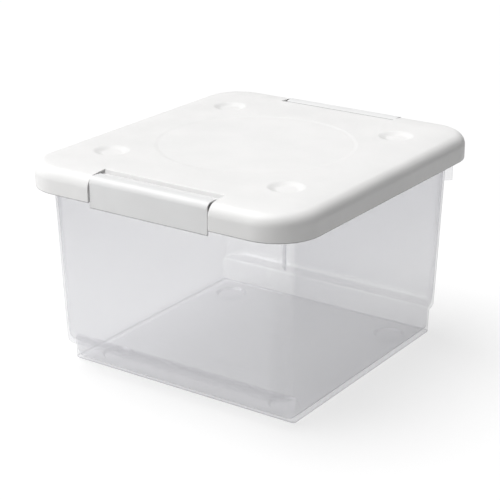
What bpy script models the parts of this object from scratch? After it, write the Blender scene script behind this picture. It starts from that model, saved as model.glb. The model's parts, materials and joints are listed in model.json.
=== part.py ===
"""Stacking storage tub with a lift-off lid and two swing latches.

Four moulded pieces: tub, lid, latch_front, latch_back.
Metres, +Z up. The ground is z = 0 and the origin is the centre of the footprint.
The front latch is on the -Y side. All dimensions below are millimetres.
"""
import math

import bmesh
import bpy
from mathutils import Vector

MM = 0.001

# ---- driving dimensions: tub ----
FOOT_HEIGHT = 3.0            # the feet hold the tub's floor off the ground
TUB_HALF_X = 163.9           # at the tub's bottom edge
TUB_HALF_Y_LOW = 161.7       # below the step, at the bottom edge
TUB_HALF_Y_UP = 187.9        # above the step, carried down to the bottom edge
DRAFT_X = 0.0293             # outward lean of the side walls
DRAFT_Y = 0.0266             # outward lean of the front and back walls
TUB_WALL = 2.2
STEP_HEIGHT = 33.1           # step underside above the tub's bottom edge
STEP_SLOPE = 0.5             # the step's ledge falls this much towards the lower wall
STEP_EDGE_RADIUS = 4.0
LOWER_CORNER_RADIUS = 5.0
UPPER_CORNER_RADIUS = 25.0
LEDGE_EDGE_RADIUS = 2.0      # inside edge where the ledge turns down
INNER_FILLET = 9.5           # inside the side walls' foot and above the step
INNER_FILLET_SMALL = 3.0     # inside the front and back walls' foot
RIM_TOP = 255.0
RIM_HALF_X = 189.0
RIM_HALF_Y = 213.0
RIM_CORNER_RADIUS = 49.0
RIM_THICKNESS = 2.5
RIM_LIP_BOTTOM = 241.5
GUSSET_BOTTOM = 204.4
GUSSET_REACH = 11.8
GUSSET_THICKNESS = 2.0

# ---- driving dimensions: lid ----
LID_HALF_X = 195.0
LID_HALF_Y = 219.0
LID_CORNER_RADIUS = 55.0
LID_TOP = 272.0
LID_SKIRT_BOTTOM = 239.0
LID_EDGE_RADIUS = 15.0
LID_CROWN_INSET = 43.0       # the flat plateau starts this far in from the edge
LID_CROWN_RISE = 1.6
LID_WALL = 2.4
SEAT_RIB_BOTTOM = RIM_TOP + 0.3
PLUG_RIB_BOTTOM = 248.0
DIMPLE_X = 125.9
DIMPLE_Y = 123.8
DIMPLE_RADIUS = 23.5
DIMPLE_FLOOR_RADIUS = 19.5
DIMPLE_DEPTH = 3.2
PANEL_RADIUS = 122.0         # shallow round panel in the middle of the lid
PANEL_DEPTH = 0.5

# ---- driving dimensions: feet ----
FOOT_TOP_RADIUS = 22.0
FOOT_BOTTOM_RADIUS = 18.6
FOOT_POCKET_RADIUS = 20.0

# ---- driving dimensions: latches and their seats in the lid ----
LATCH_HALF_LENGTH = 83.5
LATCH_FACE_Y = 217.0
LATCH_BOTTOM = 232.6
LATCH_WALL = 2.3
LATCH_FOLD_RADIUS = 8.0
LATCH_FOLD_Z = 262.2         # height of the fold's centre
LATCH_TOP_END_Y = 202.0      # where the top leg starts to dip to the barrel
BEAD_TIP_Y = 213.4
BEAD_TOP = 240.6
BEAD_BOTTOM = 235.0
HINGE_Y = 191.3
HINGE_Z = 266.0
BARREL_RADIUS = 2.8
PIN_RADIUS = 1.7
PIN_HALF_LENGTH = 87.2
PIN_HOLE_RADIUS = 2.1
SEAT_HALF_LENGTH = 85.2
SEAT_END_WALL = 3.2
SEAT_REAR_Y = 187.6
SEAT_FLOOR_TOP = 260.6
SEAT_FLOOR_BOTTOM = 258.4
SEAT_FRONT_Y = 213.9
SEAT_REAR_BEVEL = 2.4        # where the lid's top falls into the seat

CORNER_STEPS = 9
ROUND_STEPS = 32


def clear_scene():
    for obj in list(bpy.data.objects):
        bpy.data.objects.remove(obj, do_unlink=True)


def make_material(name, color, roughness, alpha=1.0, transmission=0.0):
    material = bpy.data.materials.new(name)
    material.use_nodes = True
    shader = material.node_tree.nodes["Principled BSDF"]
    shader.inputs["Base Color"].default_value = (*color, 1.0)
    shader.inputs["Roughness"].default_value = roughness
    shader.inputs["Alpha"].default_value = alpha
    shader.inputs["Transmission Weight"].default_value = transmission
    material.diffuse_color = (*color, alpha)
    return material


def ring(half_x, half_y, radius, z):
    """Points of a rounded rectangle at height z, counter-clockwise from above."""
    points = []
    centres = (
        (half_x - radius, half_y - radius, 0.0),
        (-half_x + radius, half_y - radius, 90.0),
        (-half_x + radius, -half_y + radius, 180.0),
        (half_x - radius, -half_y + radius, 270.0),
    )
    for centre_x, centre_y, start in centres:
        for step in range(CORNER_STEPS + 1):
            angle = math.radians(start + 90.0 * step / CORNER_STEPS)
            x = centre_x + radius * math.cos(angle)
            y = centre_y + radius * math.sin(angle)
            points.append((x, y, z))
    return points


def circle(centre_x, centre_y, radius, z):
    points = []
    for step in range(ROUND_STEPS):
        angle = 2.0 * math.pi * step / ROUND_STEPS
        points.append((centre_x + radius * math.cos(angle), centre_y + radius * math.sin(angle), z))
    return points


def object_from_bmesh(name, mesh_data, origin=(0.0, 0.0, 0.0)):
    """Make an object whose origin sits at the given point in millimetres."""
    shift = Vector(origin) * MM
    for vertex in mesh_data.verts:
        vertex.co = vertex.co * MM - shift
    bmesh.ops.recalc_face_normals(mesh_data, faces=mesh_data.faces[:])
    mesh = bpy.data.meshes.new(name)
    mesh_data.to_mesh(mesh)
    mesh_data.free()
    obj = bpy.data.objects.new(name, mesh)
    obj.location = shift
    bpy.context.scene.collection.objects.link(obj)
    return obj


def loft(name, rings):
    """Closed solid through a list of rings, capped at both ends."""
    mesh_data = bmesh.new()
    rows = [[mesh_data.verts.new(point) for point in points] for points in rings]
    count = len(rows[0])
    for lower, upper in zip(rows, rows[1:]):
        for index in range(count):
            following = (index + 1) % count
            mesh_data.faces.new((lower[index], lower[following], upper[following], upper[index]))
    mesh_data.faces.new(list(reversed(rows[0])))
    mesh_data.faces.new(rows[-1])
    return object_from_bmesh(name, mesh_data)


def prism(name, outline, low, high, axis="x"):
    """Closed solid from a flat outline. Along x the outline is (y, z), along z it is (x, y)."""
    mesh_data = bmesh.new()
    ends = []
    for level in (low, high):
        if axis == "x":
            ends.append([mesh_data.verts.new((level, first, second)) for first, second in outline])
        else:
            ends.append([mesh_data.verts.new((first, second, level)) for first, second in outline])
    count = len(outline)
    for index in range(count):
        following = (index + 1) % count
        mesh_data.faces.new((ends[0][index], ends[0][following], ends[1][following], ends[1][index]))
    mesh_data.faces.new(list(reversed(ends[0])))
    mesh_data.faces.new(ends[1])
    return object_from_bmesh(name, mesh_data)


def rod(name, half_length, radius, y, z):
    outline = []
    for step in range(ROUND_STEPS // 2):
        angle = 4.0 * math.pi * step / ROUND_STEPS
        outline.append((y + radius * math.cos(angle), z + radius * math.sin(angle)))
    return prism(name, outline, -half_length, half_length)


def combine(target, tools, operation):
    """Apply one exact boolean per tool and drop the tools."""
    for tool in tools:
        tool.hide_render = True
        tool.display_type = "WIRE"
        modifier = target.modifiers.new("combine", "BOOLEAN")
        modifier.operation = operation
        modifier.solver = "EXACT"
        modifier.object = tool
        bpy.context.view_layer.update()
        evaluated = target.evaluated_get(bpy.context.evaluated_depsgraph_get())
        result = bpy.data.meshes.new_from_object(evaluated)
        target.modifiers.remove(modifier)
        previous = target.data
        target.data = result
        bpy.data.meshes.remove(previous)
        bpy.data.objects.remove(tool, do_unlink=True)


def corners():
    for sign_x in (-1, 1):
        for sign_y in (-1, 1):
            yield sign_x, sign_y


# ---- tub ----

def tub_half_x(z):
    return TUB_HALF_X + DRAFT_X * (z - FOOT_HEIGHT)


def tub_half_y_low(z):
    return TUB_HALF_Y_LOW + DRAFT_Y * (z - FOOT_HEIGHT)


def tub_half_y_up(z):
    return TUB_HALF_Y_UP + DRAFT_Y * (z - FOOT_HEIGHT)


def fillet_inset(height, radius):
    """Inset of a hollow corner fillet at a height above its floor."""
    if height >= radius:
        return 0.0
    return radius - math.sqrt(radius * radius - (radius - height) ** 2)


def tub_outer_rings():
    bottom_edge = 2.5
    step_z = FOOT_HEIGHT + STEP_HEIGHT
    rings = []
    for angle_degrees in (0, 45, 90):
        angle = math.radians(angle_degrees)
        inset = bottom_edge * (1.0 - math.sin(angle))
        z = FOOT_HEIGHT + bottom_edge * (1.0 - math.cos(angle))
        half_x = tub_half_x(z) - inset
        half_y = tub_half_y_low(z) - inset
        rings.append(ring(half_x, half_y, LOWER_CORNER_RADIUS - inset, z))
    inner_z = step_z - STEP_SLOPE
    rings.append(ring(tub_half_x(inner_z), tub_half_y_low(inner_z), LOWER_CORNER_RADIUS, inner_z))
    for angle_degrees in (0, 30, 60, 90):
        angle = math.radians(angle_degrees)
        z = step_z + STEP_EDGE_RADIUS * (1.0 - math.cos(angle))
        half_y = tub_half_y_up(z) - STEP_EDGE_RADIUS * (1.0 - math.sin(angle))
        rings.append(ring(tub_half_x(z), half_y, UPPER_CORNER_RADIUS, z))
    flange_under = RIM_TOP - RIM_THICKNESS
    rings.append(ring(tub_half_x(flange_under), tub_half_y_up(flange_under), UPPER_CORNER_RADIUS, flange_under))
    return rings


def tub_rim_rings():
    flange_under = RIM_TOP - RIM_THICKNESS
    inner = RIM_THICKNESS
    chamfer = 0.9
    lip_inner = (RIM_HALF_X - inner, RIM_HALF_Y - inner, RIM_CORNER_RADIUS - inner)
    lip_outer = (RIM_HALF_X, RIM_HALF_Y, RIM_CORNER_RADIUS)
    lip_top = (RIM_HALF_X - chamfer, RIM_HALF_Y - chamfer, RIM_CORNER_RADIUS - chamfer)
    mouth_x = tub_half_x(RIM_TOP) - TUB_WALL
    mouth_y = tub_half_y_up(RIM_TOP) - TUB_WALL
    mouth_radius = UPPER_CORNER_RADIUS - TUB_WALL
    return [
        ring(*lip_inner, flange_under),
        ring(*lip_inner, RIM_LIP_BOTTOM),
        ring(*lip_outer, RIM_LIP_BOTTOM),
        ring(*lip_outer, RIM_TOP - chamfer),
        ring(*lip_top, RIM_TOP),
        ring(mouth_x + chamfer, mouth_y + chamfer, mouth_radius + chamfer, RIM_TOP),
        ring(mouth_x, mouth_y, mouth_radius, RIM_TOP - chamfer),
    ]


def tub_inner_rings():
    ledge_z = FOOT_HEIGHT + STEP_HEIGHT + TUB_WALL
    floor_z = FOOT_HEIGHT + TUB_WALL
    corner_upper = UPPER_CORNER_RADIUS - TUB_WALL
    corner_lower = LOWER_CORNER_RADIUS - TUB_WALL
    rings = []
    for height in (INNER_FILLET, 5.0, 2.2, 0.6, 0.0):
        z = ledge_z + height
        half_y = tub_half_y_up(z) - TUB_WALL - fillet_inset(height, INNER_FILLET)
        rings.append(ring(tub_half_x(z) - TUB_WALL, half_y, corner_upper, z))
    for angle_degrees in (0, 45, 90):
        angle = math.radians(angle_degrees)
        z = ledge_z - STEP_SLOPE - LEDGE_EDGE_RADIUS * (1.0 - math.cos(angle))
        half_y = tub_half_y_low(z) - TUB_WALL + LEDGE_EDGE_RADIUS * (1.0 - math.sin(angle))
        rings.append(ring(tub_half_x(z) - TUB_WALL, half_y, corner_lower, z))
    for height in (INNER_FILLET, 5.6, INNER_FILLET_SMALL, 1.2, 0.3, 0.0):
        z = floor_z + height
        inset_x = fillet_inset(height, INNER_FILLET)
        inset_y = fillet_inset(height, INNER_FILLET_SMALL)
        half_x = tub_half_x(z) - TUB_WALL - inset_x
        half_y = tub_half_y_low(z) - TUB_WALL - inset_y
        rings.append(ring(half_x, half_y, corner_lower + 0.7 * inset_x, z))
    return rings


def gusset(name, sign_y):
    """Diagonal plate under the rim at one corner of the +X side."""
    low = GUSSET_BOTTOM
    high = RIM_TOP - RIM_THICKNESS + 1.0
    centre_x = tub_half_x(low) - UPPER_CORNER_RADIUS
    centre_y = tub_half_y_up(low) - UPPER_CORNER_RADIUS
    near = UPPER_CORNER_RADIUS - 0.25 * TUB_WALL
    far = UPPER_CORNER_RADIUS + GUSSET_REACH
    half = 0.5 * GUSSET_THICKNESS
    along = Vector((math.sqrt(0.5), math.sqrt(0.5)))
    across = Vector((-along.y, along.x))
    outline = []
    for reach, side in ((near, -half), (far, -half), (far, half), (near, half)):
        point = Vector((centre_x, centre_y)) + along * reach + across * side
        outline.append((point.x, sign_y * point.y))
    return prism(name, outline, low, high, axis="z")


def build_tub(material):
    tub = loft("tub", tub_outer_rings() + tub_rim_rings() + tub_inner_rings())
    floor_z = FOOT_HEIGHT + TUB_WALL
    bosses = []
    pockets = []
    for sign_x, sign_y in corners():
        x = sign_x * DIMPLE_X
        y = sign_y * DIMPLE_Y
        boss_rings = [
            circle(x, y, FOOT_BOTTOM_RADIUS, 0.0),
            circle(x, y, FOOT_TOP_RADIUS, FOOT_HEIGHT),
            circle(x, y, FOOT_TOP_RADIUS, FOOT_HEIGHT + 0.5 * TUB_WALL),
        ]
        bosses.append(loft("boss", boss_rings))
        pocket_rings = [
            circle(x, y, FOOT_POCKET_RADIUS - FOOT_HEIGHT, TUB_WALL),
            circle(x, y, FOOT_POCKET_RADIUS, floor_z),
            circle(x, y, FOOT_POCKET_RADIUS, floor_z + 2.0),
        ]
        pockets.append(loft("pocket", pocket_rings))
    combine(tub, bosses + [gusset("gusset", -1), gusset("gusset", 1)], "UNION")
    combine(tub, pockets, "DIFFERENCE")
    tub.data.materials.clear()
    tub.data.materials.append(material)
    return tub


# ---- lid ----

def lid_ring(inset, z, radius=None):
    corner = LID_CORNER_RADIUS - inset if radius is None else radius
    return ring(LID_HALF_X - inset, LID_HALF_Y - inset, corner, z)


def lid_arc(radius, end_degrees, count):
    """Inset and height pairs of the lid's rounded top edge."""
    centre_z = LID_TOP - LID_CROWN_RISE - LID_EDGE_RADIUS * math.sin(math.radians(end_degrees))
    pairs = []
    for step in range(count + 1):
        angle = math.radians(end_degrees * step / count)
        pairs.append((LID_EDGE_RADIUS - radius * math.cos(angle), centre_z + radius * math.sin(angle)))
    return pairs


def lid_crown(count, depth):
    """Inset and height pairs from the rounded edge up to the flat plateau."""
    start = LID_EDGE_RADIUS * (1.0 - math.cos(math.radians(84.0)))
    pairs = []
    for step in range(1, count + 1):
        along = step / count
        inset = start + (LID_CROWN_INSET - start) * along
        pairs.append((inset, LID_TOP - LID_CROWN_RISE * (1.0 - along) ** 2 - depth))
    return pairs


def rib_rings(outer, inner, corner, bottom, top):
    """Rings that go down the outside of a hanging rib and up its inside."""
    thickness = outer[0] - inner[0]
    return [
        ring(*outer, corner, top),
        ring(*outer, corner, bottom),
        ring(*inner, corner - thickness, bottom),
        ring(*inner, corner - thickness, top),
    ]


def lid_rings():
    rings = []
    outer = [lid_ring(inset, z) for inset, z in lid_arc(LID_EDGE_RADIUS, 84.0, 6)]
    crown = [lid_ring(inset, z) for inset, z in lid_crown(3, 0.0)]
    rings.extend(reversed(crown))
    rings.extend(reversed(outer))
    rings.append(lid_ring(0.0, LID_SKIRT_BOTTOM + 0.8))
    rings.append(lid_ring(0.6, LID_SKIRT_BOTTOM))
    rings.append(lid_ring(LID_WALL, LID_SKIRT_BOTTOM))
    inner = [lid_ring(inset, z) for inset, z in lid_arc(LID_EDGE_RADIUS - LID_WALL, 80.0, 4)]
    rings.extend(inner)
    under = LID_TOP - LID_CROWN_RISE - LID_WALL
    rings.extend(rib_rings((180.0, 204.0), (178.0, 202.0), 40.0, SEAT_RIB_BOTTOM, under))
    rings.extend(rib_rings((168.0, 191.2), (166.2, 189.4), 21.8, PLUG_RIB_BOTTOM, under + 0.4))
    rings.append(lid_ring(LID_CROWN_INSET, LID_TOP - LID_WALL))
    return rings


def seat_frame_outline(sign_y):
    """Section of the block that frames one latch seat, just inside the lid's skin."""
    skin = 0.4
    outline = [(LID_HALF_Y - skin, LID_SKIRT_BOTTOM + 0.2)]
    for inset, z in lid_arc(LID_EDGE_RADIUS - skin, 84.0, 5):
        outline.append((LID_HALF_Y - inset, z))
    outline.append((SEAT_REAR_Y - LID_WALL, LID_TOP - 1.6))
    outline.append((SEAT_REAR_Y - LID_WALL, SEAT_FLOOR_BOTTOM))
    outline.append((SEAT_FRONT_Y, SEAT_FLOOR_BOTTOM))
    outline.append((SEAT_FRONT_Y, LID_SKIRT_BOTTOM + 0.2))
    return [(sign_y * y, z) for y, z in outline]


def seat_cut_outline(sign_y):
    """Section of the space cleared for one latch, with a bevel at the rear edge."""
    far = LID_HALF_Y + 12.0
    outline = [
        (far, LID_SKIRT_BOTTOM - 10.0),
        (far, LID_TOP + 10.0),
        (SEAT_REAR_Y - SEAT_REAR_BEVEL - 9.0, LID_TOP + 9.0),
        (SEAT_REAR_Y, LID_TOP - SEAT_REAR_BEVEL),
        (SEAT_REAR_Y, SEAT_FLOOR_TOP),
        (SEAT_FRONT_Y, SEAT_FLOOR_TOP),
        (SEAT_FRONT_Y, LID_SKIRT_BOTTOM - 10.0),
    ]
    return [(sign_y * y, z) for y, z in outline]


def build_lid(material):
    lid = loft("lid", lid_rings())
    frames = []
    cuts = []
    for sign_y in (-1, 1):
        half = SEAT_HALF_LENGTH + SEAT_END_WALL
        frames.append(prism("seat_frame", seat_frame_outline(sign_y), -half, half))
        cuts.append(prism("seat_cut", seat_cut_outline(sign_y), -SEAT_HALF_LENGTH, SEAT_HALF_LENGTH))
        cuts.append(rod("pin_hole", PIN_HALF_LENGTH + 0.5, PIN_HOLE_RADIUS, sign_y * HINGE_Y, HINGE_Z))
    for sign_x, sign_y in corners():
        x = sign_x * DIMPLE_X
        y = sign_y * DIMPLE_Y
        under = LID_TOP - LID_WALL
        frames.append(loft("dimple_under", [
            circle(x, y, DIMPLE_FLOOR_RADIUS + 1.5, under - DIMPLE_DEPTH),
            circle(x, y, DIMPLE_RADIUS + 1.5, under + 0.5 * LID_WALL),
        ]))
        cuts.append(loft("dimple", [
            circle(x, y, DIMPLE_FLOOR_RADIUS, LID_TOP - DIMPLE_DEPTH),
            circle(x, y, DIMPLE_RADIUS, LID_TOP),
            circle(x, y, DIMPLE_RADIUS, LID_TOP + 2.0),
        ]))
    cuts.append(loft("panel", [
        circle(0.0, 0.0, PANEL_RADIUS - 1.0, LID_TOP - PANEL_DEPTH),
        circle(0.0, 0.0, PANEL_RADIUS, LID_TOP),
        circle(0.0, 0.0, PANEL_RADIUS, LID_TOP + 2.0),
    ]))
    combine(lid, frames, "UNION")
    combine(lid, cuts, "DIFFERENCE")
    lid.data.materials.clear()
    lid.data.materials.append(material)
    return lid


# ---- latches ----

def latch_outline():
    """Section of a latch on the +Y side as (y, z), from the foot up, over and back."""
    centre_y = LATCH_FACE_Y - LATCH_FOLD_RADIUS
    fold_top = LATCH_FOLD_Z + LATCH_FOLD_RADIUS
    inner_y = LATCH_FACE_Y - LATCH_WALL
    outline = [(LATCH_FACE_Y - 0.6, LATCH_BOTTOM), (LATCH_FACE_Y, LATCH_BOTTOM + 0.6)]
    for step in range(7):
        angle = math.radians(90.0 * step / 6)
        outline.append((centre_y + LATCH_FOLD_RADIUS * math.cos(angle),
                        LATCH_FOLD_Z + LATCH_FOLD_RADIUS * math.sin(angle)))
    outline.append((LATCH_TOP_END_Y, fold_top + 0.2))
    for degrees in range(70, -120, -27):
        angle = math.radians(degrees)
        outline.append((HINGE_Y - BARREL_RADIUS * math.cos(angle),
                        HINGE_Z + BARREL_RADIUS * math.sin(angle)))
    outline.append((HINGE_Y + 5.0, fold_top - LATCH_WALL - 0.9))
    inner_radius = LATCH_FOLD_RADIUS - LATCH_WALL
    for step in range(5, -1, -1):
        angle = math.radians(90.0 * step / 5)
        outline.append((centre_y + inner_radius * math.cos(angle),
                        LATCH_FOLD_Z + inner_radius * math.sin(angle)))
    outline.append((inner_y, BEAD_TOP + 0.4))
    outline.append((BEAD_TIP_Y, BEAD_TOP - 1.2))
    outline.append((BEAD_TIP_Y, BEAD_TOP - 2.6))
    outline.append((inner_y, BEAD_BOTTOM))
    outline.append((inner_y, LATCH_BOTTOM + 0.3))
    outline.append((inner_y + 0.3, LATCH_BOTTOM))
    return outline


def build_latch(name, sign_y, material):
    outline = [(sign_y * y, z) for y, z in latch_outline()]
    latch = prism(name, outline, -LATCH_HALF_LENGTH, LATCH_HALF_LENGTH)
    pin = rod("pin", PIN_HALF_LENGTH, PIN_RADIUS, sign_y * HINGE_Y, HINGE_Z)
    combine(latch, [pin], "UNION")
    hinge = Vector((0.0, sign_y * HINGE_Y * MM, HINGE_Z * MM))
    for vertex in latch.data.vertices:
        vertex.co = vertex.co - hinge
    latch.location = hinge
    latch.data.materials.clear()
    latch.data.materials.append(material)
    return latch


def main():
    clear_scene()
    tub_plastic = make_material("clear_plastic", (0.82, 0.84, 0.87), 0.35, 0.45, 0.6)
    lid_plastic = make_material("lid_plastic", (0.86, 0.86, 0.84), 0.5)
    latch_plastic = make_material("latch_plastic", (0.84, 0.84, 0.83), 0.45)
    build_tub(tub_plastic)
    build_lid(lid_plastic)
    build_latch("latch_front", -1, latch_plastic)
    build_latch("latch_back", 1, latch_plastic)


main()
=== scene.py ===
"""Looks for the latching storage tub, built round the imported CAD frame.

Every moulding is rebuilt with its real edge radii and a grained or frosted plastic:
tub_shell, lid_shell, latch_front_shell and latch_back_shell stand for the four CAD nodes.
Lengths in the geometry code are millimetres in the frame's axes; blender_mesh() scales them.
"""
import json
import math

import bmesh
import bpy
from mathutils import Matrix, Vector


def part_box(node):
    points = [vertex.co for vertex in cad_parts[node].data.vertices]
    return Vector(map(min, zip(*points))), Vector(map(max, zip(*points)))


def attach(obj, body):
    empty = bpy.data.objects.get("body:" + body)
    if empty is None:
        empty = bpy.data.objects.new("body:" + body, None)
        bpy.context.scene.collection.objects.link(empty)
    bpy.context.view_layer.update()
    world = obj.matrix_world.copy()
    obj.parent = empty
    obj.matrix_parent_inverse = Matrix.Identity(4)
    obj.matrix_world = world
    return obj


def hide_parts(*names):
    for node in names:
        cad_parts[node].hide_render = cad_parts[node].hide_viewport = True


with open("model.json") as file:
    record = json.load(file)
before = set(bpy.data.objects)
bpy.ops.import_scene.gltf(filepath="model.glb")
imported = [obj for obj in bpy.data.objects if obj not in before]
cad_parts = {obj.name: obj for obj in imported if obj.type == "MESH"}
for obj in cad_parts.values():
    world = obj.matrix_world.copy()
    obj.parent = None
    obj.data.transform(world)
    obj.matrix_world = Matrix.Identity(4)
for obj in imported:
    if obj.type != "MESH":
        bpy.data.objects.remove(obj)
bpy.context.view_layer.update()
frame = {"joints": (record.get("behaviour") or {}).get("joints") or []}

MM = 0.001

# ---- sizes taken from the CAD boxes ----
TUB_LOW, TUB_HIGH = (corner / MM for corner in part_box("tub"))
LID_LOW, LID_HIGH = (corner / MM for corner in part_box("lid"))
LATCH_LOW, LATCH_HIGH = (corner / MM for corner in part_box("latch_back"))
BACK_SWING = next(joint for joint in frame["joints"] if joint["name"] == "latch_back_swing")
HINGE = Vector(BACK_SWING["pos_m"]) / MM

# ---- tub ----
FOOT_HEIGHT = 3.0
HALF_X_BASE = 163.9
HALF_Y_LOW_BASE = 161.7
HALF_Y_UP_BASE = 187.9
DRAFT_X = 0.0293
DRAFT_Y = 0.0266
TUB_WALL = 2.2
STEP_Z = FOOT_HEIGHT + 33.1
STEP_STRAIGHT = 0.5
STEP_EDGE_RADIUS = 4.0
LOWER_CORNER = 5.0
UPPER_CORNER = 25.0
INNER_FILLET = 9.5
INNER_FILLET_SMALL = 3.0
RIM_THICKNESS = 2.5
RIM_CORNER = 49.0
LIP_BOTTOM = 241.5
GUSSET_BOTTOM = 204.4
GUSSET_REACH = 11.8
GUSSET_THICKNESS = 2.0
FOOT_X = 125.9
FOOT_Y = 123.8
FOOT_RADIUS = 19.0
FOOT_ROOT_RADIUS = 22.0
POCKET_RADIUS = 17.5
POCKET_MOUTH_RADIUS = 21.0
GATE_RADIUS = 3.8

# ---- lid ----
LID_CORNER = 55.0
LID_EDGE_RADIUS = 15.0
LID_EDGE_DEGREES = 84.0
LID_INNER_DEGREES = 80.0
CROWN_INSET = 43.0
CROWN_RISE = 1.6
LID_WALL = 2.4
SEAT_RIB_HALF_X = 180.0
SEAT_RIB_HALF_Y = 204.0
SEAT_RIB_THICKNESS = 2.0
SEAT_RIB_CORNER = 40.0
SEAT_RIB_CLEARANCE = 0.3
PLUG_RIB_HALF_X = 168.0
PLUG_RIB_HALF_Y = 191.2
PLUG_RIB_THICKNESS = 1.8
PLUG_RIB_CORNER = 21.8
PLUG_RIB_BOTTOM = 248.0
DIMPLE_RADIUS = 23.5
DIMPLE_FLOOR_RADIUS = 11.0
DIMPLE_UNDER_RADIUS = 20.1
DIMPLE_DEPTH = 3.2
DIMPLE_STEPS = 12
PANEL_RADIUS = 122.0
PANEL_LIP = 3.6
PANEL_DEPTH = 0.5
SEAT_LEFT_END = -84.5
SEAT_RIGHT_END = 85.9
SEAT_REAR_Y = 187.6
SEAT_ROLL_Y = 185.2
SEAT_ROLL_RADIUS = 1.2
SEAT_ROLL_DROP = 0.15
SEAT_SLOPE_DEGREES = 60.0
SEAT_SLOPE_FOOT_Z = 266.8
SEAT_FLOOR_TOP = 260.6
SEAT_FLOOR_BOTTOM = 258.4
SEAT_FRONT_Y = 213.9
SEAT_FRAME_HALF = 88.7
SEAT_SKIN = 0.4
SEAT_EDGE_ROUNDING = 1.0
# past either of these, an edge at a seat's end is on the lid's outer skin
SEAT_EDGE_MIN_Y = 217.1
SEAT_EDGE_MIN_Z = 269.1

# ---- latches ----
LATCH_HALF_LENGTH = 83.5
LATCH_WALL = 2.3
FOLD_RADIUS = 8.0
FOLD_Z = 262.2
TOP_LEG_END_Y = 202.0
ROOT_Y = 195.0
ROOT_Z = 269.3
BARREL_RADIUS = 2.0
PIN_RADIUS = 1.7
PIN_REACH = 87.2
PIN_HOLE_RADIUS = 2.1
PIN_HOLE_REACH = 87.7
BEAD_Y = 213.4
BEAD_LOW = 238.0
BEAD_HIGH = 239.6
LATCH_END_ROUNDING = 0.6

# ---- mesh fineness ----
CORNER_STEPS = 16
ROUND_STEPS = 72
SHARP_DEGREES = 32.0

# ---- plastics: haze is the share of light that scatters, the extras are added to it ----
# colour of the painted shade lines at the hems and at the latch legs' roots
PAINTED_SHADE_COLOUR = (0.30, 0.30, 0.30)
CLEAR_TINT = (0.980, 0.980, 0.984)
# the see-through plastic's painted shade towards the rim, for the shadow under the lid
RIM_PAINTED_SHADE_TINT = (0.90, 0.90, 0.91)
# grey towards which edge-on plastic and the painted shades near the floor are tinted
EDGE_TINT = (0.50, 0.50, 0.52)
WALL_HAZE = 0.12
SLANT_HAZE = 0.20
FLOOR_EXTRA = 0.09
LEDGE_EXTRA = -0.06
EDGE_EXTRA = 0.45
HIGH_EDGE_SHADE = 0.35
# painted shade along the lowest millimetres of the walls, for the contact shadow
BASE_EDGE_PAINTED_SHADE = 0.8
THROUGH_SCATTER = 0.40
GLOSS = 0.05

# heights in millimetres between which the see-through plastic changes
BASE_EDGE_Z = (4.5, 6.5)
FLOOR_FILLET_Z = (14.0, 20.0)
ABOVE_LEDGE_Z = (46.0, 60.0)
UPPER_WALL_Z = (100.0, 240.0)

# ---- stage: the floor in millimetres, the camera's place in metres ----
FLOOR_HALF = 12000.0
FLOOR_GAP = 0.2
FLOOR_GREY = 0.22
FLOOR_SEEN = 0.74
FLOOR_BOUNCE = 0.58
BACKDROP_COLOUR = (0.98, 0.99, 1.0, 1.0)
CAMERA_LENS = 109.35
CAMERA_AZIMUTH = 34.50
CAMERA_ELEVATION = 20.458
CAMERA_PLACE = (1.0051, -1.4754, 0.7982)


# ---- mesh helpers ----

def ring(half_x, half_y, radius, z):
    """Points of a rounded rectangle at height z, counter-clockwise from above."""
    points = []
    for turn, (sign_x, sign_y) in enumerate(((1, 1), (-1, 1), (-1, -1), (1, -1))):
        for step in range(CORNER_STEPS + 1):
            angle = math.radians(90.0 * (turn + step / CORNER_STEPS))
            x = sign_x * (half_x - radius) + radius * math.cos(angle)
            y = sign_y * (half_y - radius) + radius * math.sin(angle)
            points.append((x, y, z))
    return points


def circle(centre_x, centre_y, radius, z):
    points = []
    for step in range(ROUND_STEPS):
        angle = 2.0 * math.pi * step / ROUND_STEPS
        points.append((centre_x + radius * math.cos(angle), centre_y + radius * math.sin(angle), z))
    return points


def blender_mesh(name, builder):
    """Object in metres from a bmesh built in millimetres."""
    bmesh.ops.recalc_face_normals(builder, faces=builder.faces[:])
    bmesh.ops.scale(builder, vec=(MM, MM, MM), verts=builder.verts[:])
    mesh = bpy.data.meshes.new(name)
    builder.to_mesh(mesh)
    builder.free()
    obj = bpy.data.objects.new(name, mesh)
    bpy.context.scene.collection.objects.link(obj)
    return obj


def loft(name, rings):
    """Closed solid through a list of rings, capped at both ends."""
    builder = bmesh.new()
    rows = [[builder.verts.new(point) for point in points] for points in rings]
    count = len(rows[0])
    for lower, upper in zip(rows, rows[1:]):
        for index in range(count):
            following = (index + 1) % count
            builder.faces.new((lower[index], lower[following], upper[following], upper[index]))
    builder.faces.new(list(reversed(rows[0])))
    builder.faces.new(rows[-1])
    return blender_mesh(name, builder)


def prism(name, outline, low, high, axis="x"):
    """Closed solid from a flat outline. Along x the outline is (y, z), along z it is (x, y)."""
    builder = bmesh.new()
    ends = []
    for level in (low, high):
        points = [(level, *pair) if axis == "x" else (*pair, level) for pair in outline]
        ends.append([builder.verts.new(point) for point in points])
    count = len(outline)
    for index in range(count):
        following = (index + 1) % count
        builder.faces.new((ends[0][index], ends[0][following], ends[1][following], ends[1][index]))
    builder.faces.new(list(reversed(ends[0])))
    builder.faces.new(ends[1])
    return blender_mesh(name, builder)


def turned(name, centre_x, centre_y, profile):
    """Upright round solid through (radius, z) pairs."""
    return loft(name, [circle(centre_x, centre_y, radius, z) for radius, z in profile])


def rod(name, half_length, radius, y, z, steps=32):
    """Round bar along x."""
    outline = []
    for step in range(steps):
        angle = 2.0 * math.pi * step / steps
        outline.append((y + radius * math.cos(angle), z + radius * math.sin(angle)))
    return prism(name, outline, -half_length, half_length)


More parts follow.
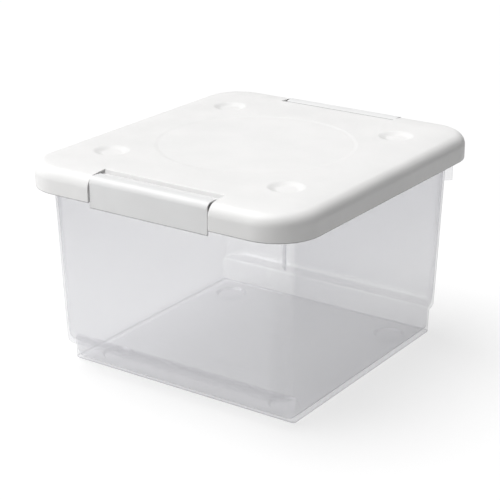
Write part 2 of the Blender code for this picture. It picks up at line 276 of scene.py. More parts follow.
def combine(target, tools, operation):
    """Apply one exact boolean per tool and drop the tools."""
    for tool in tools:
        modifier = target.modifiers.new("combine", "BOOLEAN")
        modifier.operation = operation
        modifier.solver = "EXACT"
        modifier.object = tool
        apply_modifiers(target)
        bpy.data.objects.remove(tool, do_unlink=True)


def apply_modifiers(obj):
    bpy.context.view_layer.update()
    evaluated = obj.evaluated_get(bpy.context.evaluated_depsgraph_get())
    result = bpy.data.meshes.new_from_object(evaluated)
    obj.modifiers.clear()
    previous = obj.data
    obj.data = result
    bpy.data.meshes.remove(previous)


def bevel_edges(obj, chosen, width, segments):
    """Round the edges for which chosen(edge) is true. The width is in millimetres."""
    builder = bmesh.new()
    builder.from_mesh(obj.data)
    layer = builder.edges.layers.float.new("bevel_weight_edge")
    for edge in builder.edges:
        if chosen(edge):
            edge[layer] = 1.0
    builder.to_mesh(obj.data)
    builder.free()
    bevel = obj.modifiers.new("rounding", "BEVEL")
    bevel.limit_method = "WEIGHT"
    bevel.width = width * MM
    bevel.segments = segments
    apply_modifiers(obj)


def smooth(obj):
    """Smooth shading that stays crisp at the sharper edges."""
    builder = bmesh.new()
    builder.from_mesh(obj.data)
    limit = math.radians(SHARP_DEGREES)
    for face in builder.faces:
        face.smooth = True
    for edge in builder.edges:
        edge.smooth = len(edge.link_faces) == 2 and edge.calc_face_angle() < limit
    builder.to_mesh(obj.data)
    builder.free()
    weighted = obj.modifiers.new("weighted", "WEIGHTED_NORMAL")
    weighted.keep_sharp = True
    weighted.weight = 80
    apply_modifiers(obj)


def quarter(count):
    """Angles of a quarter turn in equal steps, in radians."""
    return [0.5 * math.pi * step / count for step in range(count + 1)]


def corners():
    """Signs of x and y at the four corners."""
    for sign_x in (-1, 1):
        for sign_y in (-1, 1):
            yield sign_x, sign_y


# ---- tub ----

def half_x_at(z):
    return HALF_X_BASE + DRAFT_X * (z - FOOT_HEIGHT)


def half_y_low_at(z):
    return HALF_Y_LOW_BASE + DRAFT_Y * (z - FOOT_HEIGHT)


def half_y_up_at(z):
    return HALF_Y_UP_BASE + DRAFT_Y * (z - FOOT_HEIGHT)


def fillet_inset(height, radius):
    """Inset of a hollow fillet at a height above its floor."""
    if height >= radius:
        return 0.0
    return radius - math.sqrt(radius * radius - (radius - height) ** 2)


def outer_wall_rings():
    """The outside of the tub from its bottom edge up to the rim's underside."""
    edge = 2.5
    rings = []
    for angle in quarter(5):
        inset = edge * (1.0 - math.sin(angle))
        z = FOOT_HEIGHT + edge * (1.0 - math.cos(angle))
        rings.append(ring(half_x_at(z) - inset, half_y_low_at(z) - inset, LOWER_CORNER - inset, z))
    hollow = 1.6
    for angle in quarter(4):
        z = STEP_Z - STEP_STRAIGHT - hollow * (1.0 - math.sin(angle))
        out = hollow * (1.0 - math.cos(angle))
        rings.append(ring(half_x_at(z), half_y_low_at(z) + out, LOWER_CORNER + out, z))
    for angle in quarter(7):
        z = STEP_Z + STEP_EDGE_RADIUS * (1.0 - math.cos(angle))
        half_y = half_y_up_at(z) - STEP_EDGE_RADIUS * (1.0 - math.sin(angle))
        rings.append(ring(half_x_at(z), half_y, UPPER_CORNER, z))
    under = TUB_HIGH.z - RIM_THICKNESS
    root = 1.2
    for angle in quarter(4):
        z = under - root * (1.0 - math.sin(angle))
        out = root * (1.0 - math.cos(angle))
        rings.append(ring(half_x_at(z) + out, half_y_up_at(z) + out, UPPER_CORNER + out, z))
    return rings


def rim_rings():
    """The rim's flange and lip, from its underside over the top to the tub's mouth."""
    under = TUB_HIGH.z - RIM_THICKNESS
    rings = []
    root = 1.0

    def rim(inset, z):
        return ring(TUB_HIGH.x - inset, TUB_HIGH.y - inset, RIM_CORNER - inset, z)

    for angle in quarter(3):
        inset = RIM_THICKNESS + root * (1.0 - math.sin(angle))
        rings.append(rim(inset, under - root * (1.0 - math.cos(angle))))
    tip = 1.0
    for angle in quarter(4):
        inset = RIM_THICKNESS - tip * (1.0 - math.cos(angle))
        rings.append(rim(inset, LIP_BOTTOM + tip * (1.0 - math.sin(angle))))
    for angle in quarter(4):
        rings.append(rim(tip * (1.0 - math.sin(angle)), LIP_BOTTOM + tip * (1.0 - math.cos(angle))))
    shoulder = 1.6
    for angle in quarter(5):
        z = TUB_HIGH.z - shoulder * (1.0 - math.sin(angle))
        rings.append(rim(shoulder * (1.0 - math.cos(angle)), z))
    mouth = 1.3
    for angle in quarter(4):
        z = TUB_HIGH.z - mouth * (1.0 - math.cos(angle))
        out = mouth * (1.0 - math.sin(angle))
        half_x = half_x_at(z) - TUB_WALL + out
        half_y = half_y_up_at(z) - TUB_WALL + out
        rings.append(ring(half_x, half_y, UPPER_CORNER - TUB_WALL + out, z))
    return rings


def inner_wall_rings():
    """The inside of the tub from the mouth down to the floor."""
    ledge_z = STEP_Z + TUB_WALL
    floor_z = FOOT_HEIGHT + TUB_WALL
    upper = UPPER_CORNER - TUB_WALL
    lower = LOWER_CORNER - TUB_WALL
    rings = []
    for angle in quarter(7):
        height = INNER_FILLET * (1.0 - math.sin(angle))
        z = ledge_z + height
        half_y = half_y_up_at(z) - TUB_WALL - fillet_inset(height, INNER_FILLET)
        rings.append(ring(half_x_at(z) - TUB_WALL, half_y, upper, z))
    edge = 2.0
    for angle in quarter(4):
        z = ledge_z - STEP_STRAIGHT - edge * (1.0 - math.cos(angle))
        half_y = half_y_low_at(z) - TUB_WALL + edge * (1.0 - math.sin(angle))
        rings.append(ring(half_x_at(z) - TUB_WALL, half_y, lower, z))
    for angle in quarter(8):
        height = INNER_FILLET * (1.0 - math.sin(angle))
        z = floor_z + height
        inset_x = fillet_inset(height, INNER_FILLET)
        inset_y = fillet_inset(height, INNER_FILLET_SMALL)
        half_x = half_x_at(z) - TUB_WALL - inset_x
        half_y = half_y_low_at(z) - TUB_WALL - inset_y
        rings.append(ring(half_x, half_y, lower + 0.7 * inset_x, z))
    return rings


def gusset(sign_y):
    """Diagonal plate under the rim at one corner of the +X side."""
    low = GUSSET_BOTTOM
    high = TUB_HIGH.z - RIM_THICKNESS + 1.0
    centre = Vector((half_x_at(low) - UPPER_CORNER, half_y_up_at(low) - UPPER_CORNER))
    near = UPPER_CORNER - 0.25 * TUB_WALL
    far = UPPER_CORNER + GUSSET_REACH
    half = 0.5 * GUSSET_THICKNESS
    along = Vector((math.sqrt(0.5), math.sqrt(0.5)))
    across = Vector((-along.y, along.x))
    outline = []
    for reach, side in ((near, -half), (far, -half), (far, half), (near, half)):
        point = centre + along * reach + across * side
        outline.append((point.x, sign_y * point.y))
    return prism("gusset", outline, low, high, axis="z")


def foot_tools(x, y):
    """The boss under one foot and the pocket that hollows it from inside."""
    floor_z = FOOT_HEIGHT + TUB_WALL
    boss = [
        (FOOT_RADIUS - 1.2, 0.0),
        (FOOT_RADIUS - 0.4, 0.3),
        (FOOT_RADIUS, 0.9),
        (FOOT_ROOT_RADIUS - 0.6, FOOT_HEIGHT - 0.6),
        (FOOT_ROOT_RADIUS, FOOT_HEIGHT - 0.1),
        (FOOT_ROOT_RADIUS, FOOT_HEIGHT + 0.5 * TUB_WALL),
    ]
    pocket = [
        (POCKET_RADIUS - 1.1, TUB_WALL),
        (POCKET_RADIUS - 0.5, TUB_WALL + 0.2),
        (POCKET_RADIUS, TUB_WALL + 0.8),
        (POCKET_MOUTH_RADIUS - 1.6, floor_z - 0.5),
        (POCKET_MOUTH_RADIUS - 0.8, floor_z - 0.1),
        (POCKET_MOUTH_RADIUS, floor_z + 0.02),
        (POCKET_MOUTH_RADIUS, floor_z + 2.0),
    ]
    return turned("boss", x, y, boss), turned("pocket", x, y, pocket)


def gate_mark():
    """The small round mark left under the floor by the moulding gate."""
    profile = [
        (GATE_RADIUS - 0.6, FOOT_HEIGHT - 0.8),
        (GATE_RADIUS, FOOT_HEIGHT - 0.4),
        (GATE_RADIUS, FOOT_HEIGHT + 1.0),
    ]
    return turned("gate", 0.0, 0.0, profile)


def build_tub():
    tub = loft("tub_shell", outer_wall_rings() + rim_rings() + inner_wall_rings())
    bosses = [gusset(-1), gusset(1)]
    pockets = []
    for sign_x, sign_y in corners():
        boss, pocket = foot_tools(sign_x * FOOT_X, sign_y * FOOT_Y)
        bosses.append(boss)
        pockets.append(pocket)
    bosses.append(gate_mark())
    combine(tub, bosses, "UNION")
    combine(tub, pockets, "DIFFERENCE")
    smooth(tub)
    return tub


# ---- lid ----

def lid_ring(inset, z):
    return ring(LID_HIGH.x - inset, LID_HIGH.y - inset, LID_CORNER - inset, z)


def edge_arc(radius, end_degrees, count):
    """Inset and height pairs of the lid's rounded top edge."""
    centre_z = LID_HIGH.z - CROWN_RISE - LID_EDGE_RADIUS * math.sin(math.radians(end_degrees))
    pairs = []
    for step in range(count + 1):
        angle = math.radians(end_degrees * step / count)
        pairs.append((LID_EDGE_RADIUS - radius * math.cos(angle), centre_z + radius * math.sin(angle)))
    return pairs


def crown(count):
    """Inset and height pairs from the rounded edge up to the flat plateau."""
    start = LID_EDGE_RADIUS * (1.0 - math.cos(math.radians(LID_EDGE_DEGREES)))
    pairs = []
    for step in range(1, count + 1):
        along = step / count
        inset = start + (CROWN_INSET - start) * along
        pairs.append((inset, LID_HIGH.z - CROWN_RISE * (1.0 - along) ** 2))
    return pairs


def rib_rings(half_x, half_y, thickness, corner, bottom, top):
    """Rings down the outside of a hanging rib and up its inside, with a rounded tip."""
    tip = 0.5 * thickness
    rings = [ring(half_x, half_y, corner, top)]
    for angle in quarter(3):
        inset = tip * (1.0 - math.cos(angle))
        z = bottom + tip * (1.0 - math.sin(angle))
        rings.append(ring(half_x - inset, half_y - inset, corner - inset, z))
    for angle in quarter(3)[1:]:
        inset = tip + tip * math.sin(angle)
        z = bottom + tip * (1.0 - math.cos(angle))
        rings.append(ring(half_x - inset, half_y - inset, corner - inset, z))
    rings.append(ring(half_x - thickness, half_y - thickness, corner - thickness, top))
    return rings


def lid_body_rings():
    """The lid's skin, from the plateau down its outside and back up inside to the ribs."""
    outer_edge = edge_arc(LID_EDGE_RADIUS, LID_EDGE_DEGREES, 16)
    inner_edge = edge_arc(LID_EDGE_RADIUS - LID_WALL, LID_INNER_DEGREES, 8)
    rings = [lid_ring(inset, z) for inset, z in reversed(crown(8))]
    rings += [lid_ring(inset, z) for inset, z in reversed(outer_edge)]
    hem = 1.0
    for angle in quarter(4):
        z = LID_LOW.z + hem * (1.0 - math.sin(angle))
        rings.append(lid_ring(hem * (1.0 - math.cos(angle)), z))
    chamfer = 0.3
    rings.append(lid_ring(LID_WALL - chamfer, LID_LOW.z))
    rings.append(lid_ring(LID_WALL, LID_LOW.z + chamfer))
    rings += [lid_ring(inset, z) for inset, z in inner_edge]
    under = LID_HIGH.z - CROWN_RISE - LID_WALL
    rings += rib_rings(
        SEAT_RIB_HALF_X,
        SEAT_RIB_HALF_Y,
        SEAT_RIB_THICKNESS,
        SEAT_RIB_CORNER,
        bottom=TUB_HIGH.z + SEAT_RIB_CLEARANCE,
        top=under,
    )
    rings += rib_rings(
        PLUG_RIB_HALF_X,
        PLUG_RIB_HALF_Y,
        PLUG_RIB_THICKNESS,
        PLUG_RIB_CORNER,
        bottom=PLUG_RIB_BOTTOM,
        top=under + 0.4,
    )
    rings.append(lid_ring(CROWN_INSET, LID_HIGH.z - LID_WALL))
    return rings


def seat_frame(sign_y):
    """Block that frames one latch seat, just inside the lid's skin."""
    edge = edge_arc(LID_EDGE_RADIUS - SEAT_SKIN, LID_EDGE_DEGREES, 12)
    outline = [(LID_HIGH.y - SEAT_SKIN, LID_LOW.z + SEAT_SKIN)]
    outline += [(LID_HIGH.y - inset, z) for inset, z in edge]
    outline += [
        (SEAT_REAR_Y - LID_WALL, LID_HIGH.z - CROWN_RISE),
        (SEAT_REAR_Y - LID_WALL, SEAT_FLOOR_BOTTOM),
        (SEAT_FRONT_Y, SEAT_FLOOR_BOTTOM),
        (SEAT_FRONT_Y, LID_LOW.z + SEAT_SKIN),
    ]
    points = [(sign_y * y, z) for y, z in outline]
    return prism("seat_frame", points, -SEAT_FRAME_HALF, SEAT_FRAME_HALF)


def seat_cut(sign_y):
    """Space cleared for one latch. At the rear the lid's top rolls over and slopes down into it."""
    far = LID_HIGH.y + 12.0
    above = LID_HIGH.z + 10.0
    below = LID_LOW.z - 10.0
    roll_z = LID_HIGH.z - SEAT_ROLL_DROP - SEAT_ROLL_RADIUS
    slope = math.radians(SEAT_SLOPE_DEGREES)
    outline = [(far, below), (far, above), (SEAT_ROLL_Y, above)]
    roll_steps = 4
    for step in range(roll_steps + 1):
        angle = math.radians(90.0) - slope * step / roll_steps
        y = SEAT_ROLL_Y + SEAT_ROLL_RADIUS * math.cos(angle)
        outline.append((y, roll_z + SEAT_ROLL_RADIUS * math.sin(angle)))
    slope_top_y, slope_top_z = outline[-1]
    slope_foot_y = slope_top_y + (slope_top_z - SEAT_SLOPE_FOOT_Z) / math.tan(slope)
    outline += [
        (slope_foot_y, SEAT_SLOPE_FOOT_Z),
        (SEAT_REAR_Y, SEAT_SLOPE_FOOT_Z - 1.0),
        (SEAT_REAR_Y, SEAT_FLOOR_TOP),
        (SEAT_FRONT_Y, SEAT_FLOOR_TOP),
        (SEAT_FRONT_Y, below),
    ]
    points = [(sign_y * y, z) for y, z in outline]
    return prism("seat_cut", points, SEAT_LEFT_END, SEAT_RIGHT_END)


def dimple_tool(x, y):
    """Cutter for one stacking dimple, a shallow dish with a soft lip."""
    top = LID_HIGH.z
    profile = []
    for step in range(DIMPLE_STEPS + 1):
        along = step / DIMPLE_STEPS
        radius = DIMPLE_FLOOR_RADIUS + (DIMPLE_RADIUS - DIMPLE_FLOOR_RADIUS) * along
        rise = 0.5 - 0.5 * math.cos(math.pi * along)
        profile.append((radius, top - DIMPLE_DEPTH * (1.0 - rise) + 0.02))
    profile.append((DIMPLE_RADIUS, top + 3.0))
    return turned("dimple", x, y, profile)


def dimple_under(x, y):
    """Extra plastic under one dimple, so that the lid keeps its wall there."""
    under = LID_HIGH.z - LID_WALL
    profile = [
        (DIMPLE_UNDER_RADIUS, under - DIMPLE_DEPTH),
        (DIMPLE_UNDER_RADIUS + 0.9, under - DIMPLE_DEPTH + 0.5),
        (DIMPLE_RADIUS + 1.5, under + 0.5 * LID_WALL),
    ]
    return turned("dimple_under", x, y, profile)


def panel_tool():
    """Cutter for the shallow round panel in the middle of the lid."""
    top = LID_HIGH.z
    profile = [
        (PANEL_RADIUS - PANEL_LIP, top - PANEL_DEPTH),
        (PANEL_RADIUS - 0.5 * PANEL_LIP, top - PANEL_DEPTH + 0.08),
        (PANEL_RADIUS, top - 0.5 * PANEL_DEPTH),
        (PANEL_RADIUS + 0.5 * PANEL_LIP, top - 0.06),
        (PANEL_RADIUS + PANEL_LIP, top + 0.02),
        (PANEL_RADIUS + PANEL_LIP, top + 3.0),
    ]
    return turned("panel", 0.0, 0.0, profile)


def at_seat_end(point):
    """Whether a point in millimetres lies on the end wall of a seat."""
    return min(abs(point.x - SEAT_LEFT_END), abs(point.x - SEAT_RIGHT_END)) < 0.05


def rounds_seat(edge):
    """Whether an edge of the lid is where a seat's end meets the outer skin."""
    if not edge.is_convex or edge.calc_face_angle() < math.radians(40.0):
        return False
    first, second = (vertex.co / MM for vertex in edge.verts)
    middle = 0.5 * (first + second)
    on_skin = middle.z > SEAT_EDGE_MIN_Z or abs(middle.y) > SEAT_EDGE_MIN_Y
    return on_skin and at_seat_end(first) and at_seat_end(second)


def build_lid():
    lid = loft("lid_shell", lid_body_rings())
    additions = []
    cuts = [panel_tool()]
    for sign_y in (-1, 1):
        additions.append(seat_frame(sign_y))
        cuts.append(rod("pin_hole", PIN_HOLE_REACH, PIN_HOLE_RADIUS, sign_y * HINGE.y, HINGE.z))
        cuts.append(seat_cut(sign_y))
    for sign_x, sign_y in corners():
        additions.append(dimple_under(sign_x * FOOT_X, sign_y * FOOT_Y))
        cuts.append(dimple_tool(sign_x * FOOT_X, sign_y * FOOT_Y))
    combine(lid, additions, "UNION")
    combine(lid, cuts, "DIFFERENCE")
    bevel_edges(lid, rounds_seat, SEAT_EDGE_ROUNDING, 4)
    smooth(lid)
    return lid


# ---- latches ----

def latch_outline():
    """Section of a latch on the +Y side as (y, z), from the foot up, over and back."""
    face_y = LATCH_HIGH.y
    centre_y = face_y - FOLD_RADIUS
    fold_top = FOLD_Z + FOLD_RADIUS
    inner_y = face_y - LATCH_WALL
    bottom = LATCH_LOW.z
    outline = []
    foot = 0.9
    for angle in quarter(3):
        y = face_y - foot * (1.0 - math.sin(angle))
        outline.append((y, bottom + foot * (1.0 - math.cos(angle))))
    for angle in quarter(14):
        y = centre_y + FOLD_RADIUS * math.cos(angle)
        outline.append((y, FOLD_Z + FOLD_RADIUS * math.sin(angle)))
    outline += [
        (TOP_LEG_END_Y, fold_top + 0.2),
        (ROOT_Y + 0.9, ROOT_Z),
        (ROOT_Y, ROOT_Z - 0.7),
        (ROOT_Y - 0.5, HINGE.z + BARREL_RADIUS),
    ]
    for degrees in range(70, -121, -19):
        angle = math.radians(degrees)
        y = HINGE.y - BARREL_RADIUS * math.cos(angle)
        outline.append((y, HINGE.z + BARREL_RADIUS * math.sin(angle)))
    outline.append((HINGE.y + 5.0, fold_top - LATCH_WALL - 0.9))
    inner_radius = FOLD_RADIUS - LATCH_WALL
    for angle in reversed(quarter(8)):
        y = centre_y + inner_radius * math.cos(angle)
        outline.append((y, FOLD_Z + inner_radius * math.sin(angle)))
    outline += [
        (inner_y, BEAD_HIGH + 1.4),
        (inner_y - 0.5, BEAD_HIGH + 1.0),
        (BEAD_Y, BEAD_HIGH),
        (BEAD_Y, BEAD_LOW),
        (inner_y, BEAD_LOW - 3.0),
        (inner_y, bottom + 0.4),
        (inner_y + 0.4, bottom),
    ]
    return outline


def goes_round_end(edge):
    """Whether an edge of a latch lies in the plane of one of its ends."""
    first, second = edge.verts
    return abs(first.co.x - second.co.x) < 1e-6


def build_latch(name, sign_y):
    outline = [(sign_y * y, z) for y, z in latch_outline()]
    latch = prism(name, outline, -LATCH_HALF_LENGTH, LATCH_HALF_LENGTH)
    bevel_edges(latch, goes_round_end, LATCH_END_ROUNDING, 3)
    combine(latch, [rod("pin", PIN_REACH, PIN_RADIUS, sign_y * HINGE.y, HINGE.z)], "UNION")
    smooth(latch)
    return latch


# ---- materials ----

class Nodes:
    """Short calls for building one node tree."""

    def __init__(self, name):
        self.material = bpy.data.materials.new(name)
        self.material.use_nodes = True
        self.tree = self.material.node_tree
        self.tree.nodes.clear()
        self.output = self.add("OutputMaterial")
        self.coordinates = self.add("TexCoord")
        self.place = self.coordinates.outputs["Object"]

    def add(self, kind):
        return self.tree.nodes.new("ShaderNode" + kind)

    def link(self, source, target):
        self.tree.links.new(source, target)

    def part_of(self, vector, axis):
        """One component of a vector, by its axis letter."""
        node = self.add("SeparateXYZ")
        self.link(vector, node.inputs["Vector"])
        return node.outputs[axis]

    def band(self, value, low, high, soft):
        """One from low to high, in millimetres, fading to zero over a soft margin outside."""
        rising = self.remap(value, (low - soft) * MM, low * MM, 0.0, 1.0)
        falling = self.remap(value, high * MM, (high + soft) * MM, 1.0, 0.0)
        return self.math("MULTIPLY", rising, falling)

    def mix(self, share, first, second):
        """Mix of two shaders. The share of the second one is a number or a socket."""
        node = self.add("MixShader")
        if isinstance(share, float):
            node.inputs["Fac"].default_value = share
        else:
            self.link(share, node.inputs["Fac"])
        self.link(first, node.inputs[1])
        self.link(second, node.inputs[2])
        return node.outputs["Shader"]

    def noise(self, scale, detail=2.0, roughness=0.5):
        node = self.add("TexNoise")
        node.inputs["Scale"].default_value = scale
        node.inputs["Detail"].default_value = detail
        node.inputs["Roughness"].default_value = roughness
        self.link(self.place, node.inputs["Vector"])
        return node.outputs["Fac"]

    def remap(self, value, from_low, from_high, to_low, to_high):
        node = self.add("MapRange")
        node.inputs["From Min"].default_value = from_low
        node.inputs["From Max"].default_value = from_high
        node.inputs["To Min"].default_value = to_low
        node.inputs["To Max"].default_value = to_high
        self.link(value, node.inputs["Value"])
        return node.outputs["Result"]

    def by_height(self, span, below, above):
        """Value that goes from below to above between the two heights of a span in millimetres."""
        low, high = span
        return self.remap(self.part_of(self.place, "Z"), low * MM, high * MM, below, above)

    def math(self, operation, first, second):
        node = self.add("Math")
        node.operation = operation
        for socket, value in zip(node.inputs, (first, second)):
            if isinstance(value, float):
                socket.default_value = value
            else:
                self.link(value, socket)
        return node.outputs["Value"]

    def blend(self, factor, first, second):
        """Colour mix by a factor socket. Each colour is a plain one or a socket."""
        node = self.add("Mix")
        node.data_type = "RGBA"
        colours = [socket for socket in node.inputs if socket.type == "RGBA"]
        for socket, value in zip(colours, (first, second)):
            if isinstance(value, tuple):
                socket.default_value = (*value, 1.0)
            else:
                self.link(value, socket)
        self.link(factor, node.inputs["Factor"])
        return [socket for socket in node.outputs if socket.type == "RGBA"][0]

    def bump(self, height, distance, strength, normal=None):
        node = self.add("Bump")
        node.inputs["Distance"].default_value = distance
        node.inputs["Strength"].default_value = strength
        self.link(height, node.inputs["Height"])
        if normal is not None:
            self.link(normal, node.inputs["Normal"])
        return node.outputs["Normal"]

    def principled(self, **values):
        node = self.add("BsdfPrincipled")
        for name, value in values.items():
            socket = node.inputs[name.replace("_", " ").title().replace("Ior", "IOR")]
            if isinstance(value, (int, float, tuple)):
                socket.default_value = value
            else:
                self.link(value, socket)
        return node


def grained_plastic(name, light, dark, roughness, grain, hem_z, root_shade):
    """White moulded plastic with a fine spark-eroded grain and a slight waviness.

    The edge along the bottom, at hem_z, carries a thin painted shade line for the shadow under
    the edge. root_shade, from 0 to 1, sets a painted shade on the narrow wall at the root of a
    latch's leg, for the shadowed gap behind the lid's edge.
    """
    nodes = Nodes(name)
    mottle = nodes.noise(18.0, 3.0, 0.55)
    fine = nodes.noise(1500.0, 2.0, 0.6)
    tone = nodes.blend(nodes.remap(mottle, 0.3, 0.7, 0.0, 1.0), dark, light)
    # painted shade: a thin dark line at the hem, standing in for the shadow under the edge
    hem = nodes.by_height((hem_z + 0.8, hem_z + 1.3), 1.0, 0.0)
    # painted shade on the root wall of a latch's leg, standing in for the shadowed gap there
    across = nodes.math("ABSOLUTE", nodes.part_of(nodes.place, "Y"), 0.0)
    at_root = nodes.band(across, ROOT_Y - 0.6, ROOT_Y + 0.8, 0.2)
    near_top = nodes.band(nodes.part_of(nodes.place, "Z"), ROOT_Z - 2.0, ROOT_Z + 0.1, 0.2)
    root = nodes.math("MULTIPLY", nodes.math("MULTIPLY", at_root, near_top), root_shade)
    colour = nodes.blend(nodes.math("MAXIMUM", hem, root), tone, PAINTED_SHADE_COLOUR)
    rough = nodes.remap(nodes.noise(240.0, 3.0), 0.3, 0.7, roughness - 0.04, roughness + 0.05)
    wave = nodes.bump(nodes.noise(14.0, 1.0), 0.0015, 0.25)
    normal = nodes.bump(fine, 0.0003, grain, wave)
    shader = nodes.principled(base_color=colour, roughness=rough, normal=normal, ior=1.49)
    shader.inputs["Specular IOR Level"].default_value = 0.25
    shader.inputs["Subsurface Weight"].default_value = 0.25
    shader.inputs["Subsurface Radius"].default_value = (1.0, 1.0, 1.0)
    shader.inputs["Subsurface Scale"].default_value = 0.0025
    nodes.link(shader.outputs["BSDF"], nodes.output.inputs["Surface"])
    return nodes.material


def frosted_plastic(name):
    """See-through milky plastic: part of the light goes straight through, the rest scatters.

    Walls are milkier the more slanted they are seen. Slanted walls also get greyer towards the
    rim, a painted shade for the shadow under the lid. The floor and its fillets are milkier
    still, level surfaces higher up a little clearer. Seen edge on near the floor, the plastic
    darkens, partly for its longer path and partly as painted shade for the contact shadow;
    above the ledges it turns milky and grey. The lowest few millimetres of the walls are
    darker all round, a painted shade for the contact shadow.
    """
    nodes = Nodes(name)
    cloud = nodes.remap(nodes.noise(11.0, 3.0, 0.6), 0.3, 0.7, 0.0, 1.0)
    colour = nodes.blend(cloud, (0.95, 0.95, 0.975), (0.96, 0.96, 0.98))
    weight = nodes.add("LayerWeight")
    weight.inputs["Blend"].default_value = 0.5
    facing = weight.outputs["Facing"]
    edge_on = nodes.remap(facing, 0.72, 1.0, 0.0, 1.0)
    upward = nodes.math("ABSOLUTE", nodes.part_of(nodes.coordinates.outputs["Normal"], "Z"), 0.0)

    slant = nodes.remap(facing, 0.2, 0.5, WALL_HAZE, SLANT_HAZE)
    level = nodes.by_height(FLOOR_FILLET_Z, FLOOR_EXTRA, LEDGE_EXTRA)
    extra = nodes.math("MULTIPLY", nodes.remap(upward, 0.1, 0.5, 0.0, 1.0), level)
    edge_extra = nodes.math("MULTIPLY", edge_on, nodes.by_height(ABOVE_LEDGE_Z, 0.0, EDGE_EXTRA))
    haze = nodes.math("ADD", nodes.math("ADD", slant, extra), edge_extra)

    # seen edge on near the floor the plastic darkens, partly for its longer path and partly as painted
    # shade for the contact shadow
    low_edges = nodes.by_height(FLOOR_FILLET_Z, 1.0, 0.0)
    high_edges = nodes.by_height(ABOVE_LEDGE_Z, 0.0, HIGH_EDGE_SHADE)
    absorbed_and_painted_shade = nodes.math("MULTIPLY", edge_on, nodes.math("ADD", low_edges, high_edges))
    # painted shade along the lowest few millimetres of the walls, for the contact shadow
    upright = nodes.remap(upward, 0.2, 0.9, 1.0, 0.0)
    base_edge = nodes.math("MULTIPLY", nodes.by_height(BASE_EDGE_Z, BASE_EDGE_PAINTED_SHADE, 0.0), upright)
    # painted shade: slanted walls grey towards the rim, for the shadow under the lid
    slanted = nodes.remap(facing, 0.2, 0.5, 0.0, 1.0)
    rim_painted_shade = nodes.math("MULTIPLY", slanted, nodes.by_height(UPPER_WALL_Z, 0.0, 1.0))
    tint = nodes.blend(rim_painted_shade, CLEAR_TINT, RIM_PAINTED_SHADE_TINT)

    clear = nodes.add("BsdfTransparent")
    shade = nodes.math("MAXIMUM", absorbed_and_painted_shade, base_edge)
    nodes.link(nodes.blend(shade, tint, EDGE_TINT), clear.inputs["Color"])
    rough = nodes.remap(nodes.noise(160.0, 3.0), 0.3, 0.7, 0.24, 0.34)
    milky = nodes.principled(base_color=colour, roughness=rough, ior=1.49)
    glow = nodes.add("BsdfTranslucent")
    nodes.link(colour, glow.inputs["Color"])
    gloss = nodes.add("BsdfGlossy")
    gloss.inputs["Roughness"].default_value = 0.2
    scatter = nodes.mix(THROUGH_SCATTER, milky.outputs["BSDF"], glow.outputs["BSDF"])
    film = nodes.mix(haze, clear.outputs["BSDF"], scatter)
    surface = nodes.mix(GLOSS, film, gloss.outputs["BSDF"])
    nodes.link(surface, nodes.output.inputs["Surface"])
    return nodes.material


def floor_material():
    """Plain pale floor. It lights the object a little less than it shows to the camera."""
    nodes = Nodes("studio_floor")
    shader = nodes.principled(
        base_color=(FLOOR_GREY, FLOOR_GREY, FLOOR_GREY, 1.0),
        roughness=0.9,
        specular_ior_level=0.0,
        emission_color=(1.0, 1.0, 1.0, 1.0),
    )
    seen = nodes.add("LightPath").outputs["Is Camera Ray"]
    glow = nodes.remap(seen, 0.0, 1.0, FLOOR_BOUNCE, FLOOR_SEEN)
    nodes.link(glow, shader.inputs["Emission Strength"])
    nodes.link(shader.outputs["BSDF"], nodes.output.inputs["Surface"])
    return nodes.material


# ---- stage ----

def add_floor():
    builder = bmesh.new()
    bmesh.ops.create_grid(builder, x_segments=8, y_segments=8, size=FLOOR_HALF)
    floor = blender_mesh("floor", builder)
    floor.location.z = (TUB_LOW.z - FLOOR_GAP) * MM
    floor.data.materials.append(floor_material())


def add_area(name, location, target, width, height, power):
    light = bpy.data.lights.new(name, "AREA")
    light.shape = "RECTANGLE"
    light.size = width
    light.size_y = height
    light.energy = power
    obj = bpy.data.objects.new(name, light)
    obj.location = location
    obj.rotation_euler = (Vector(target) - Vector(location)).to_track_quat("-Z", "Y").to_euler()
    bpy.context.scene.collection.objects.link(obj)


def add_sun(name, direction, strength, spread_degrees):
    light = bpy.data.lights.new(name, "SUN")
    light.energy = strength
    light.angle = math.radians(spread_degrees)
    obj = bpy.data.objects.new(name, light)
    obj.rotation_euler = Vector(direction).to_track_quat("-Z", "Y").to_euler()
    bpy.context.scene.collection.objects.link(obj)


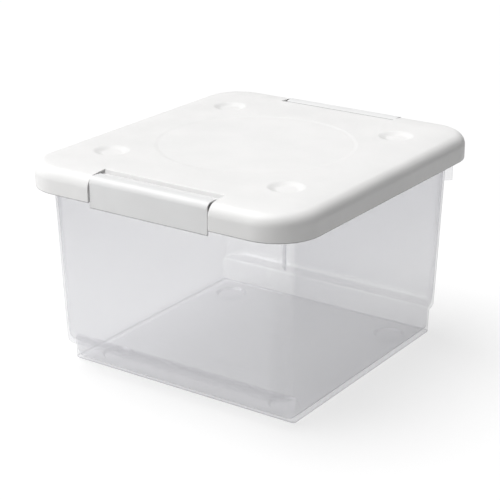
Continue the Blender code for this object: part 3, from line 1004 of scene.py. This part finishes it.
def add_world(light, backdrop):
    """Weak even light all round, behind which the camera sees a plain pale backdrop."""
    world = bpy.data.worlds.new("studio")
    world.use_nodes = True
    tree = world.node_tree
    path = tree.nodes.new("ShaderNodeLightPath")
    strength = tree.nodes.new("ShaderNodeMapRange")
    strength.inputs["To Min"].default_value = light
    strength.inputs["To Max"].default_value = backdrop
    tree.links.new(path.outputs["Is Camera Ray"], strength.inputs["Value"])
    background = tree.nodes["Background"]
    background.inputs["Color"].default_value = BACKDROP_COLOUR
    tree.links.new(strength.outputs["Result"], background.inputs["Strength"])
    bpy.context.scene.world = world


def add_camera():
    camera = bpy.data.cameras.new("camera")
    camera.sensor_width = 36.0
    camera.lens = CAMERA_LENS
    obj = bpy.data.objects.new("camera", camera)
    azimuth = math.radians(CAMERA_AZIMUTH)
    elevation = math.radians(CAMERA_ELEVATION)
    back = Vector((
        math.sin(azimuth) * math.cos(elevation),
        -math.cos(azimuth) * math.cos(elevation),
        math.sin(elevation),
    ))
    obj.location = CAMERA_PLACE
    obj.rotation_euler = (-back).to_track_quat("-Z", "Y").to_euler()
    bpy.context.scene.collection.objects.link(obj)
    bpy.context.scene.camera = obj


def add_stage():
    add_floor()
    add_world(light=0.06, backdrop=1.0)
    add_sun("overhead", direction=(0.36, 0.14, -1.0), strength=4.2, spread_degrees=50.0)
    add_area(
        "left_softbox",
        location=(-0.70, -0.95, 0.20),
        target=(0.0, 0.0, 0.2),
        width=0.6,
        height=0.4,
        power=3.1,
    )
    add_camera()
    bpy.context.scene.view_settings.view_transform = "Standard"


def main():
    add_stage()
    lid_white = grained_plastic(
        "lid_plastic",
        light=(0.76, 0.755, 0.75),
        dark=(0.73, 0.727, 0.722),
        roughness=0.45,
        grain=0.16,
        hem_z=LID_LOW.z,
        root_shade=0.0,
    )
    latch_white = grained_plastic(
        "latch_plastic",
        light=(0.72, 0.722, 0.722),
        dark=(0.70, 0.70, 0.70),
        roughness=0.42,
        grain=0.12,
        hem_z=LATCH_LOW.z,
        root_shade=0.8,
    )
    pieces = (
        (build_tub(), "tub", frosted_plastic("clear_plastic"), "clear_plastic"),
        (build_lid(), "lid", lid_white, "lid_plastic"),
        (build_latch("latch_front_shell", -1), "latch_front", latch_white, "latch_plastic"),
        (build_latch("latch_back_shell", 1), "latch_back", latch_white, "latch_plastic"),
    )
    for piece, node, material, slot in pieces:
        piece.data.materials.clear()
        piece.data.materials.append(material)
        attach(piece, node)
        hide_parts(node)


main()
